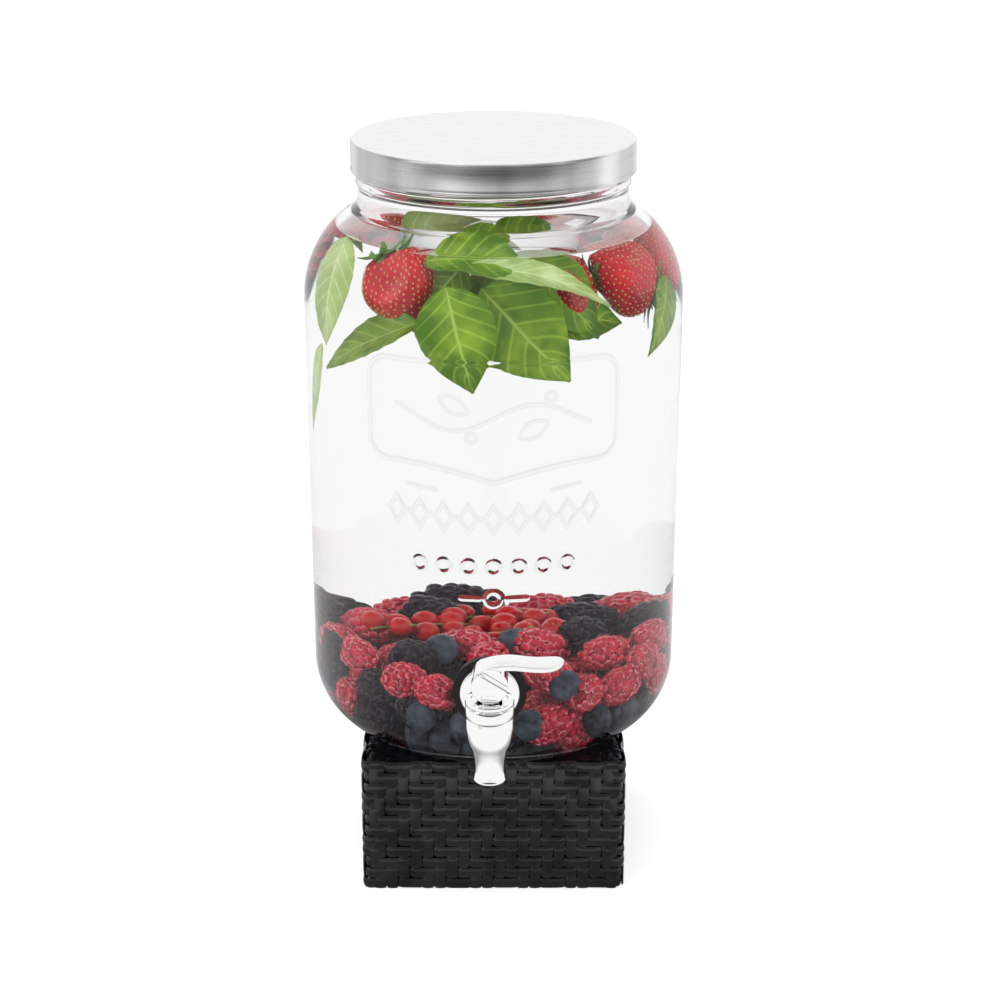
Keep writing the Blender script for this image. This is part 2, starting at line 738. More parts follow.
def makeWater():
    # the water reaches a little into the glass, so that light bends once on its way between them
    j = jar
    into = 0.0004
    lip, neck, shoulder, floorLine = jarInnerLine(into)
    wet = [(r, z) for r, z in shoulder if z < j["waterTop"] - 0.0012]
    wallR = shoulder[-1]
    top = j["waterTop"]
    share = (top - j["wallTop"]) / (j["shoulderHeight"] - j["wall"] + into)
    surfaceR = j["shoulderCentre"] + (j["wallR"] - j["wall"] + into - j["shoulderCentre"]) * math.sqrt(1 - share ** 2)
    climb = [(surfaceR - 0.0002 - 0.0065 * (i / 8) ** 1.6, top + 0.0014 * (1 - i / 8) ** 2.4) for i in range(9)]
    surface = [(0, top), (surfaceR * 0.35, top), (surfaceR * 0.7, top)] + climb[::-1]
    outline = surface + wet + floorLine
    piece = turned("water", outline, 160)
    smooth(piece, 60)
    return dress(piece, waterPaint, "jar")


# ---- what the jar holds ---------------------------------------------------

def innerR(z):
    # the clear radius inside the glass at a height
    j = jar
    floorZ = j["base"] + j["floor"]
    heelHigh = j["heelHeight"] - j["floor"] * 0.5
    foot = j["footR"] - 0.006
    wallR = j["wallR"] - j["wall"]
    heel = np.sqrt(np.clip(1 - ((floorZ + heelHigh - z) / heelHigh) ** 2, 0, 1))
    dome = np.sqrt(np.clip(1 - ((z - j["wallTop"]) / (j["shoulderHeight"] - j["wall"])) ** 2, 0, 1))
    low = foot + (j["heelR"] - j["wall"] - foot) * heel
    high = j["shoulderCentre"] + (wallR - j["shoulderCentre"]) * dome
    return np.where(z < floorZ + heelHigh, low, np.where(z > j["wallTop"], high, j["heelR"] - j["wall"]))


def keepInside(piece, gap=0.0014):
    # presses whatever would reach into the glass back inside it
    points = readPoints(piece)
    points[:, 2] = np.maximum(points[:, 2], jar["base"] + jar["floor"] + 0.0016)
    radius = np.hypot(points[:, 0], points[:, 1])
    limit = innerR(points[:, 2]) - gap
    grow = np.where(radius > limit, limit / np.maximum(radius, 1e-9), 1)
    points[:, 0] *= grow
    points[:, 1] *= grow
    writePoints(piece, points)
    return piece


def placed(template, place, turn, size=1.0):
    twin = copyOf(template)
    twin.matrix_world = Matrix.Translation(place) @ turn.to_4x4() @ Matrix.Scale(size, 4)
    return twin


def facing(direction, spin=0.0):
    # a turn that takes Z to the direction
    return Vector(direction).normalized().to_track_quat("Z", "Y").to_matrix() @ Matrix.Rotation(spin, 3, "Z")


def mm(*values):
    return Vector(values) / 1000


def makeBerry(name, long, wide, drupelet, rows, seed):
    # drupelets in staggered rings on a blunt cone
    rng = random.Random(seed)
    bpy.ops.mesh.primitive_ico_sphere_add(subdivisions=2, radius=drupelet)
    bead = smooth(bpy.context.object, 180)
    beads = []
    for row in range(rows + 1):
        t = row / rows
        z = long * (0.46 - 0.92 * t)
        around = wide / 2 * math.sqrt(max(0.0, 1 - (1.9 * t - 0.80) ** 2 * 0.80)) - drupelet * 0.75
        count = max(1, round(math.tau * around / (drupelet * 1.72)))
        for i in range(count):
            a = math.tau * (i + 0.5 * (row % 2)) / count + rng.uniform(-0.12, 0.12)
            r = around * rng.uniform(0.94, 1.05) if count > 1 else 0
            place = Vector((r * math.cos(a), r * math.sin(a), z + rng.uniform(-0.0004, 0.0004)))
            turn = Euler((rng.random(), rng.random(), a)).to_matrix()
            twin = placed(bead, place, turn, rng.uniform(0.9, 1.12))
            out = turn.transposed() @ Vector((r * math.cos(a), r * math.sin(a), z * 0.6)).normalized()
            rim = twin.data.attributes.new("rim", "FLOAT", "POINT")
            rim.data.foreach_set("value", [1 - max(0.0, v.co.normalized().dot(out)) for v in twin.data.vertices])
            beads.append(twin)
    bpy.ops.mesh.primitive_uv_sphere_add(segments=16, ring_count=10, radius=0.5)
    core = bpy.context.object
    core.scale = (wide * 0.78, wide * 0.78, long * 0.84)
    beads.append(smooth(settle(core), 180))
    bpy.data.objects.remove(bead, do_unlink=True)
    return joinAll(beads, name)


def makeBlueberry():
    # a flattened ball with a crown round a shallow dip
    bpy.ops.mesh.primitive_uv_sphere_add(segments=30, ring_count=20, radius=0.0084)
    piece = bpy.context.object
    points = readPoints(piece)
    radius = np.hypot(points[:, 0], points[:, 1])
    angle = np.arctan2(points[:, 1], points[:, 0])
    top = points[:, 2] > 0
    crown = np.exp(-((radius - 0.0029) / 0.0007) ** 2) * (0.0006 + 0.0005 * np.cos(angle * 5))
    dip = np.exp(-(radius / 0.0023) ** 4) * 0.0018
    points[:, 2] = points[:, 2] * 0.90 + np.where(top, crown - dip, 0)
    writePoints(piece, points)
    return smooth(piece, 180)


def makeCurrant():
    bpy.ops.mesh.primitive_uv_sphere_add(segments=20, ring_count=14, radius=0.0054)
    ball = smooth(bpy.context.object, 180)
    bpy.ops.mesh.primitive_cone_add(vertices=7, radius1=0.0010, radius2=0.0003, depth=0.0022, location=(0, 0, 0.0060))
    tip = bpy.context.object
    tip.data.materials.append(stemPaint)
    ball.data.materials.append(currantPaint)
    return joinAll([ball, tip], "currant")


def makeSprig(rng, currant, place, way, count):
    # currants hang either side of a thin green stalk
    along = Vector(way).normalized()
    side = along.cross(Vector((0, 0, 1))).normalized()
    reach = 0.0062 * count
    bpy.ops.curve.primitive_bezier_curve_add()
    stalk = bpy.context.object
    ends = stalk.data.splines[0].bezier_points
    for point, share in zip(ends, (-0.55, 0.55)):
        point.handle_left_type = point.handle_right_type = "FREE"
        point.co = along * reach * share
        point.handle_left = point.co - along * reach * 0.25 + Vector((0, 0, 0.004 * share))
        point.handle_right = point.co + along * reach * 0.25 - Vector((0, 0, 0.004 * share))
    stalk.data.bevel_depth = 0.00055
    stalk.data.resolution_u = 14
    stalk.data.use_fill_caps = True
    hold(stalk)
    bpy.ops.object.convert(target="MESH")
    stalk = bpy.context.object
    stalk.data.materials.append(stemPaint)
    stalk.location = place
    pieces = [settle(stalk)]
    for i in range(count):
        share = (i + 0.5) / count - 0.5
        out = side * (0.0062 if i % 2 else -0.0062) + Vector((0, 0, rng.uniform(-0.002, 0.004)))
        spot = place + along * reach * share + out
        pieces.append(placed(currant, spot, facing(out + along * 0.004, rng.random()), rng.uniform(0.88, 1.08)))
    return pieces


strawberry = {"long": 0.041, "wide": 0.038, "seedRows": 17}


def strawberryR(t):
    # half width from the tip (0) to the shoulder (1), as a share of the width
    return np.sin(np.clip(t, 0, 1) ** 1.18 * math.pi * 0.93) ** 0.76 * 0.5


def makeStrawberry(seed):
    # tip at -Z; a ball drawn out to a blunt cone, with a dimple under each seed
    s = strawberry
    rng = random.Random(seed)
    bpy.ops.mesh.primitive_uv_sphere_add(segments=72, ring_count=56, radius=1)
    body = bpy.context.object
    points = readPoints(body)
    t = np.arccos(np.clip(-points[:, 2], -1, 1)) / math.pi
    angle = np.arctan2(points[:, 1], points[:, 0])
    lobes = 1 + 0.05 * np.cos(angle * 2 + seed) + 0.03 * np.cos(angle * 3 + seed * 2)
    seeds = []
    for row in range(1, s["seedRows"]):
        share = row / s["seedRows"] * 0.93
        count = max(3, round(math.tau * float(strawberryR(share)) * s["wide"] / 0.0041))
        for i in range(count):
            seeds.append((share + rng.uniform(-0.006, 0.006), math.tau * (i + 0.5 * (row % 2)) / count + rng.uniform(-0.06, 0.06)))
    dent = np.zeros(len(points))
    for share, a in seeds:
        gap = np.hypot((t - share) * s["long"], np.sin((angle - a) / 2) * 2 * strawberryR(t) * s["wide"])
        dent = np.maximum(dent, np.where(np.cos(angle - a) > 0, np.exp(-(gap / 0.0010) ** 2), 0))
    r = strawberryR(t) * s["wide"] * lobes - dent * 0.0006
    z = (t - 0.5) * s["long"] - np.where(t > 0.9, (t - 0.9) * 0.05, 0)
    writePoints(body, np.stack([r * np.cos(angle), r * np.sin(angle), z], 1))
    smooth(body, 180)
    body.data.materials.append(strawberryPaint)
    bpy.ops.mesh.primitive_ico_sphere_add(subdivisions=1, radius=0.00060)
    grain = bpy.context.object
    grain.scale = (0.72, 0.72, 1.25)
    settle(grain)
    smooth(grain, 180)
    grain.data.materials.append(seedPaint)
    pieces = [body]
    for share, a in seeds:
        lobe = 1 + 0.05 * math.cos(a * 2 + seed) + 0.03 * math.cos(a * 3 + seed * 2)
        r = float(strawberryR(share)) * s["wide"] * lobe - 0.0004
        place = Vector((r * math.cos(a), r * math.sin(a), (share - 0.5) * s["long"]))
        pieces.append(placed(grain, place, Matrix.Rotation(a, 3, "Z")))
    bpy.data.objects.remove(grain, do_unlink=True)
    for i in range(9):
        a = math.tau * i / 9 + rng.uniform(-0.15, 0.15)
        out = Vector((math.cos(a), math.sin(a), 0))
        start = Vector((0, 0, s["long"] * 0.445))
        end = start + out * rng.uniform(0.013, 0.018) + Vector((0, 0, rng.uniform(-0.003, 0.006)))
        pieces.append(makeLeaf(start, end, 0.0056, Vector((0, 0, 1)), rng, 10, 6, 0.0, -0.0022, sepalPaint))
    bpy.ops.mesh.primitive_cylinder_add(vertices=10, radius=0.0011, depth=0.006, location=(0, 0, s["long"] * 0.445 + 0.0028))
    bpy.context.object.data.materials.append(sepalPaint)
    pieces.append(smooth(bpy.context.object, 60))
    return joinAll(pieces, "strawberry")


def makeLeaf(start, end, width, facingWay, rng, longSteps=30, wideSteps=16, teeth=0.05, droop=0.004, paint=None):
    # a leaf from its base to its tip: a grid with a leaf's outline, a creased midrib and puckered ribs
    along = end - start
    length = along.length
    along = along / length
    normal = Vector(facingWay)
    normal = (normal - along * normal.dot(along)).normalized()
    side = along.cross(normal)
    bpy.ops.mesh.primitive_grid_add(x_subdivisions=wideSteps, y_subdivisions=longSteps, size=2, calc_uvs=True)
    leaf = bpy.context.object
    points = readPoints(leaf)
    u, v = points[:, 0], (points[:, 1] + 1) / 2
    outline = np.sin(np.clip(v, 0, 1) ** 0.75 * math.pi) ** np.where(v > 0.43, 0.95, 0.75)
    outline = np.maximum(outline, 0.03)
    saw = (v * 13) % 1.0
    outline = outline * (1 - teeth * saw * np.abs(u))
    phase = rng.uniform(0, 6)
    pucker = np.sin((v * 7 - np.abs(u) * 1.6) * math.tau) * 0.00045 * np.abs(u) * (1 - v * 0.5)
    fold = np.abs(u) ** 1.3 * outline * width * 0.16
    wave = np.sin(v * 5 + phase + np.sign(u) * 0.8) * np.abs(u) ** 2 * width * 0.045
    arch = np.sin(v * math.pi) * droop
    lift = fold + wave + arch + (pucker if longSteps > 15 else 0)
    wide = u * outline * width / 2
    curl = -((v - 0.5) ** 2) * droop * 0.5
    writePoints(leaf, np.array(start) + np.outer(v * length, along) + np.outer(wide, side) + np.outer(lift + curl, normal))
    addModifier(leaf, "SOLIDIFY", thickness=0.00035, offset=0.0)
    leaf.data.materials.append(paint)
    return smooth(leaf, 60)


def leafFinish(name, deep, pale, rib):
    # rib pattern from the leaf's own map: across on U, along on V
    paint = Paint(name, Specular_IOR_Level=0.4, Subsurface_Weight=0.12, Subsurface_Scale=0.002)
    u, v, w = paint.axes(paint.node("ShaderNodeTexCoord", output="UV"))
    across = paint.node("ShaderNodeMath", {"operation": "ABSOLUTE"}, [u * 2 - 1])
    side = paint.node("ShaderNodeMath", {"operation": "FRACT"}, [v * 7 - across * 1.6])
    sideRib = 1 - paint.spread(paint.node("ShaderNodeMath", {"operation": "ABSOLUTE"}, [side - 0.5]), 0.02, 0.13)
    middle = 1 - paint.spread(across, 0.015, 0.06)
    ribs = paint.node("ShaderNodeMath", {"operation": "MAXIMUM"}, [middle * 0.8, sideRib * 0.26 * (1 - across * 0.6)])
    mottle = paint.spread(paint.grain(55, 6.0, 0.62) * 0.75 + sideRib * 0.10 + (1 - across) * 0.12, 0.36, 0.66)
    ground = paint.blendColours(mottle, deep, pale)
    paint.feed("Base Color", paint.blendColours(ribs, ground, rib))
    paint.feed("Roughness", paint.spread(mottle, 0, 1, 0.32, 0.5))
    paint.bumps(ribs * -1.0 + paint.grain(700, 2.0) * 0.3, 0.0003, 0.5)
    return paint.material


def fruitFinish(name, dark, light, scale, rough, scatter=0.15, coat=0.3, edge=None, **fixed):
    paint = Paint(name, Subsurface_Weight=scatter, Subsurface_Scale=0.003, Coat_Weight=coat, Coat_Roughness=0.12, **fixed)
    paint.shader.inputs["Subsurface Radius"].default_value = (1.0, 0.25, 0.15)
    grain = paint.grain(scale, 3.0, 0.6)
    tone = paint.spread(grain, 0.32, 0.68)
    colour = paint.blendColours(tone, dark, light)
    if edge:
        # a paler line where one drupelet meets the next
        rim = paint.node("ShaderNodeAttribute", {"attribute_name": "rim"}, output="Fac")
        line = paint.spread(rim, 0.30, 0.52) * (1 - paint.spread(rim, 0.60, 0.85)) * paint.spread(paint.grain(420, 2.0), 0.35, 0.6)
        colour = paint.blendColours(line, colour, edge)
    paint.feed("Base Color", colour)
    paint.feed("Roughness", paint.spread(grain, 0.3, 0.7, rough[0], rough[1]))
    paint.bumps(paint.grain(scale * 6, 2.0), 0.0001, 0.4)
    return paint.material


strawberryPaint = fruitFinish("strawberryFlesh", (0.38, 0.002, 0.014), (0.70, 0.008, 0.028), 60, (0.18, 0.30), 0.15, 0.6,
                             Specular_IOR_Level=0.35)
seedPaint = plainFinish("strawberrySeed", (0.60, 0.36, 0.08), (0.84, 0.64, 0.24), 900, (0.35, 0.5))
sepalPaint = leafFinish("sepal", (0.08, 0.20, 0.02), (0.17, 0.34, 0.05), (0.28, 0.42, 0.10))
basilPaint = leafFinish("basil", (0.075, 0.19, 0.008), (0.38, 0.56, 0.045), (0.46, 0.62, 0.13))
oliveLeafPaint = leafFinish("oliveLeaf", (0.10, 0.20, 0.02), (0.34, 0.46, 0.08), (0.42, 0.54, 0.16))
paleLeafPaint = leafFinish("paleLeaf", (0.36, 0.50, 0.15), (0.70, 0.79, 0.40), (0.76, 0.84, 0.48))
raspberryPaint = fruitFinish("raspberry", (0.33, 0.002, 0.016), (0.68, 0.012, 0.045), 130, (0.18, 0.34), 0.25, 0.4,
                             (0.92, 0.34, 0.40), Specular_IOR_Level=0.15)
bramblePaint = fruitFinish("bramble", (0.002, 0.0015, 0.003), (0.013, 0.005, 0.010), 130, (0.12, 0.26), 0.0, 0.2,
                           (0.085, 0.065, 0.085), Specular_IOR_Level=0.1)
blueberryPaint = fruitFinish("blueberry", (0.006, 0.008, 0.016), (0.10, 0.12, 0.165), 110, (0.35, 0.60), 0.0, 0.0,
                             Specular_IOR_Level=0.25)
currantPaint = fruitFinish("currant", (0.40, 0.002, 0.006), (0.64, 0.010, 0.014), 200, (0.10, 0.2), 0.3, 0.5, Specular_IOR_Level=0.2)
stemPaint = plainFinish("greenStem", (0.16, 0.28, 0.05), (0.32, 0.42, 0.12), 500, (0.4, 0.5))


# millimetres in the jar: the berries that show in front and on top of the heap
heap = {
    "raspberry": [(-49, 13, 134), (-64, -44, 131), (51, -38, 133), (-13, -26, 135), (-2, -46, 132), (21, -24, 134),
                  (15, 52, 134), (62, -54, 117), (29, -77, 107), (46, -70, 121), (-30, -79, 125), (30, -72, 131),
                  (72, -20, 134), (-28, 44, 134), (44, 44, 133)],
    "bramble": [(-20, 26, 136), (35, 26, 134), (61, 14, 134), (38, -12, 136), (-37, -48, 134), (-60, -57, 119),
                   (-76, -22, 124), (-36, -72, 112), (-58, -52, 101), (-12, 70, 134), (-64, 38, 132)],
    "blueberry": [(-37, -81, 111), (18, -84, 108), (9, -24, 138), (-24, -40, 138), (-14, -82, 106), (4, -82, 102),
                  (52, -62, 102), (-24, -74, 98), (36, -78, 128)],
    "sprigs": [((-30, 5, 137), (0.9, 0.4, 0), 7), ((-2, 22, 138), (1, 0.1, 0), 8), ((18, 4, 138), (0.8, -0.5, 0), 7),
               ((8, -8, 138), (1, 0.3, 0), 6)],
    "top": 136,
}
girth = {"raspberry": 0.0103, "bramble": 0.0112, "blueberry": 0.0080}


def heapSpots(rng):
    # the berries that show come first; the rest drop to the lowest free spot among a few tries
    spots = [(kind, mm(*place)) for kind in girth for place in heap[kind]]
    nut = (mm(-2, -88, 133.6), 0.0185)
    floorZ = jar["base"] + jar["floor"]
    for turnNumber in range(150):
        kind = rng.choice(["raspberry", "raspberry", "bramble", "bramble", "blueberry"])
        size = girth[kind]
        best = None
        for attempt in range(26):
            a, r = rng.uniform(0, math.tau), 0.088 * math.sqrt(rng.random())
            x, y = r * math.cos(a), r * math.sin(a)
            z = floorZ + size
            while z < mm(heap["top"], 0, 0).x - size * 0.8:
                room = float(innerR(np.array(z - size * 0.35))) - size * 0.92
                spot = Vector((x, y, z))
                free = r < room and (spot - nut[0]).length > nut[1] + size
                free = free and all((spot - other).length > (size + girth[k]) * 0.86 for k, other in spots)
                if free:
                    break
                z += 0.0015
            else:
                continue
            if best is None or z < best.z:
                best = Vector((x, y, z))
        if best is not None:
            spots.append((kind, best))
    return spots


def makeHeap():
    rng = random.Random(12)
    raspberries = [makeBerry("raspberry", 0.0245, 0.0205, 0.00235, 7, k) for k in range(2)]
    brambles = [makeBerry("bramble", 0.0255, 0.0215, 0.00285, 6, 9 + k) for k in range(2)]
    templates = {"raspberry": raspberries, "bramble": brambles, "blueberry": [makeBlueberry()]}
    spots = heapSpots(rng)
    paints = {"raspberry": raspberryPaint, "bramble": bramblePaint, "blueberry": blueberryPaint}
    for kind, paint in paints.items():
        here = [spot for k, spot in spots if k == kind]
        copies = []
        for spot in here:
            lean = Vector((rng.uniform(-1, 1), rng.uniform(-1, 1), rng.uniform(-0.25, 0.35)))
            if kind == "blueberry":
                lean = Vector((rng.uniform(-0.9, 0.9), rng.uniform(-1.4, -0.3), rng.uniform(-0.4, 0.9)))
            copies.append(placed(rng.choice(templates[kind]), spot, facing(lean, rng.uniform(0, 6)), rng.uniform(0.93, 1.07)))
        group = keepInside(joinAll(copies, kind + "Heap"))
        print(kind, len(here), len(group.data.polygons))
        dress(group, paint, "jar")
    for group in templates.values():
        for template in group:
            bpy.data.objects.remove(template, do_unlink=True)
    currant = makeCurrant()
    pieces = []
    for place, way, count in heap["sprigs"]:
        pieces += makeSprig(rng, currant, mm(*place), way, count)
    bpy.data.objects.remove(currant, do_unlink=True)
    sprigs = keepInside(joinAll(pieces, "currantSprigs"))
    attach(sprigs, "jar")


# millimetres in the jar: where each strawberry floats and which way its tip points
afloat = {
    "strawberries": [((-44, -60, 339), (0.46, -0.25, -0.85), 1.08), ((62, -42, 341), (-0.75, -0.25, 0.45), 1.0),
                     ((33, -50, 334), (-0.9, -0.2, -0.3), 0.85), ((74, -2, 338), (0.2, -0.4, 0.85), 0.86),
                     ((29, 60, 346), (0.9, 0.1, 0.3), 0.95), ((-60, 38, 348), (-0.6, -0.3, 0.6), 1.0),
                     ((68, 28, 344), (0.4, 0.5, 0.5), 0.9)],
    "leaves": [("pale", (-73, -30, 357), (-82, -39, 305), 30, (-0.6, -0.8, 0.1), 0.004),
               ("olive", (-37, -82, 328), (-83, -41, 293), 21, (-0.3, -0.7, 0.7), 0.004),
               ("pale", (-85, -37, 305), (-91, -22, 252), 12, (-0.9, -0.4, 0.0), 0.002),
               ("basil", (-23, -78, 344), (-10, -87, 293), 41, (-0.1, -1.0, 0.15), 0.003),
               ("basil", (-6, -74, 342), (37, -74, 296), 44, (-0.05, -0.9, 0.35), 0.004),
               ("pale", (-14, -79, 354), (57, -70, 333), 17, (0.1, -0.5, 0.85), 0.007),
               ("basil", (26, -62, 324), (60, -50, 320), 24, (0.2, -0.75, 0.6), 0.003),
               ("basil", (82, -20, 334), (76, -50, 302), 22, (0.8, -0.6, 0.1), 0.003),
               ("basil", (-34, -66, 354), (20, -76, 351), 34, (0.0, -0.5, 0.85), 0.005),
               ("olive", (-14, -62, 350), (-38, -66, 320), 28, (-0.2, -0.9, 0.4), 0.004),
               ("basil", (-4, -58, 352), (10, -66, 322), 30, (0.1, -0.9, 0.4), 0.004),
               ("basil", (12, -56, 352), (50, -62, 316), 32, (0.15, -0.85, 0.5), 0.004),
               ("pale", (-50, 20, 357), (4, 46, 352), 36, (0.1, -0.4, 0.9), 0.004),
               ("basil", (0, 0, 355), (46, 24, 350), 34, (0.1, -0.3, 0.95), 0.004),
               ("pale", (-10, 58, 356), (-44, 62, 348), 26, (0.0, -0.6, 0.8), 0.003),
               ("basil", (-24, -20, 354), (14, -44, 346), 36, (0.0, -0.6, 0.8), 0.004)],
}


def makeAfloat():
    rng = random.Random(31)
    fruits = []
    for index, (place, tip, size) in enumerate(afloat["strawberries"]):
        template = makeStrawberry(index)
        turn = facing(-Vector(tip), rng.uniform(0, 6))
        fruits.append(placed(template, mm(*place), turn, size))
        bpy.data.objects.remove(template, do_unlink=True)
    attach(keepInside(joinAll(fruits, "strawberries")), "jar")
    paints = {"pale": paleLeafPaint, "olive": oliveLeafPaint, "basil": basilPaint}
    leaves = []
    for kind, start, end, width, way, droop in afloat["leaves"]:
        leaf = makeLeaf(mm(*start), mm(*end), width / 1000, way, rng, 40, 20, 0.015, droop, paints[kind])
        leaves.append(keepInside(leaf))
    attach(joinAll(leaves, "basilLeaves"), "jar")


# ---- lid -----------------------------------------------------------------

lid = {"r": 0.0756, "top": 0.4076, "bottom": 0.3900, "sheet": 0.0009, "corner": 0.0022, "bead": 0.0011}


def makeLid():
    l = lid
    r, top, corner, sheet = l["r"], l["top"], l["corner"], l["sheet"]
    panel = r - 0.0105
    outside = [(0, top - 0.0004), (panel - 0.0016, top - 0.0004), (panel - 0.0006, top - 0.0003), (panel, top - 0.0001),
               (panel + 0.0008, top)]
    outside += arcPoints((r - corner, top - corner), (corner, corner), 90, 0, 10)
    beadZ = l["bottom"] + l["bead"]
    outside += [(r, top - 0.006), (r, beadZ + 0.0030), (r - 0.0003, beadZ + 0.0022)]
    bead = arcPoints((r - l["bead"] + 0.0004, beadZ), (l["bead"], l["bead"]), 62, -150, 14)
    inside = [(r - sheet, beadZ + 0.0012), (r - sheet, top - 0.006)]
    inside += arcPoints((r - corner, top - corner), (corner - sheet, corner - sheet), 0, 90, 6)
    inside += [(panel, top - sheet), (0, top - sheet - 0.0003)]
    piece = turned("lidShell", outside + bead + inside, 192)
    smooth(piece, 40)
    return dress(piece, lidPaint, "lid_shell", "brushed_lid_steel", "lid_shell")


# ---- tap -----------------------------------------------------------------

tap = {
    "x": -0.0020,
    "y": -0.1320,
    "shankZ": 0.1336,
    "shankR": 0.0077,
    "shankEnd": -0.0840,
    "flangeR": 0.01575,
    "flangeThick": 0.0030,
    "flangeBack": -0.10469,
    "neckR": 0.0058,
    "bore": 0.0038,
    "barrelR": 0.0127,
    "barrelTop": 0.1396,
    "tip": 0.0968,
    "outletR": 0.0055,
    "chamberR": 0.0091,
    "seat": 0.1222,
    "bonnetTop": 0.1427,
    "hubZ": 0.1525,
    "hubR": 0.0094,
    "leverWide": 0.0180,
    "pinOffset": 0.0018,
}


def smoothLine(points, count):
    # a Catmull-Rom run through a few outline points
    out = []
    for i in range(len(points) - 1):
        p = [Vector(points[max(0, min(len(points) - 1, k))]) for k in (i - 1, i, i + 1, i + 2)]
        for step in range(count):
            t = step / count
            q = 0.5 * (2 * p[1] + (p[2] - p[0]) * t + (2 * p[0] - 5 * p[1] + 4 * p[2] - p[3]) * t * t
                       + (3 * p[1] - p[0] - 3 * p[2] + p[3]) * t ** 3)
            out.append((q.x, q.y))
    return out + [tuple(points[-1])]


def makeTapBody():
    t = tap
    top = t["barrelTop"]
    collar = [(t["barrelR"] - 0.0006, top), (t["barrelR"] - 0.0002, top - 0.0002), (t["barrelR"], top - 0.0006),
              (t["barrelR"], 0.1334), (t["barrelR"] - 0.0002, 0.1330), (t["barrelR"] - 0.00045, 0.1328)]
    taper = smoothLine([(0.01245, 0.1320), (0.01235, 0.1256), (0.0115, 0.1192), (0.0096, 0.1138), (0.0082, 0.1082),
                        (0.0078, 0.1028), (0.0082, 0.0994), (0.0085, t["tip"] + 0.0010)], 5)
    lip = [(0.0084, t["tip"] + 0.0004), (0.0080, t["tip"]), (0.0066, t["tip"]), (t["outletR"], t["tip"] + 0.0008)]
    inside = [(t["outletR"], t["seat"]), (t["chamberR"], t["seat"]), (t["chamberR"], top)]
    barrel = turned("tapBody", collar + taper + lip + inside, 96, (t["x"], t["y"], 0))

    back = t["shankEnd"] - t["flangeBack"]
    front = back + t["flangeThick"]
    neckEnd = t["shankEnd"] - (t["y"] + t["chamberR"] + 0.0005)
    neckR, flangeR = t["neckR"], t["flangeR"]
    flare = [(neckR, neckEnd), (neckR, front + 0.0016), (neckR + 0.0005, front + 0.0006), (neckR + 0.0016, front)]
    flange = [(flangeR - 0.0016, front), (flangeR - 0.0006, front - 0.0002), (flangeR - 0.0001, front - 0.0008),
              (flangeR, front - 0.0014), (flangeR, back), (t["shankR"], back)]
    thread = []
    turns = 14
    for i in range(turns * 2, 0, -1):
        thread.append((t["shankR"] - (0.0005 if i % 2 else 0.0), 0.0012 + (back - 0.0030) * i / (turns * 2)))
    shankLine = flare + flange + thread + [(t["shankR"] - 0.0008, 0), (t["bore"], 0), (t["bore"], neckEnd)]
    shank = turned("shank", shankLine, 96, (t["x"], t["shankEnd"], t["shankZ"]), (math.pi / 2, 0, 0))
    cutWith(barrel, shank, "UNION")

    # a small locking dimple on the collar's front
    bpy.ops.mesh.primitive_uv_sphere_add(segments=20, ring_count=12, radius=0.0010,
                                         location=(t["x"] - 0.0050, t["y"] - 0.01165, 0.1318))
    cutWith(barrel, bpy.context.object)
    smooth(barrel, 34)
    return dress(barrel, chromePaint, "jar", "tap_chrome", "tap_body")


def makeBonnet():
    t = tap
    r, low, top = t["barrelR"], t["barrelTop"] + 0.0003, t["bonnetTop"]
    hole = 0.0042
    outline = [(hole, top - 0.0004), (r - 0.0034, top - 0.0004), (r - 0.0030, top), (r - 0.0008, top),
               (r - 0.0002, top - 0.0002), (r, top - 0.0008), (r, low + 0.0007), (r - 0.0003, low + 0.0002),
               (r - 0.0008, low), (t["chamberR"] - 0.0003, low), (t["chamberR"] - 0.0003, 0.1378), (hole, 0.1378)]
    piece = turned("tapBonnet", outline, 96, (t["x"], t["y"], 0))
    smooth(piece, 34)
    return dress(piece, chromePaint, "jar", "tap_chrome", "bonnet_ring")


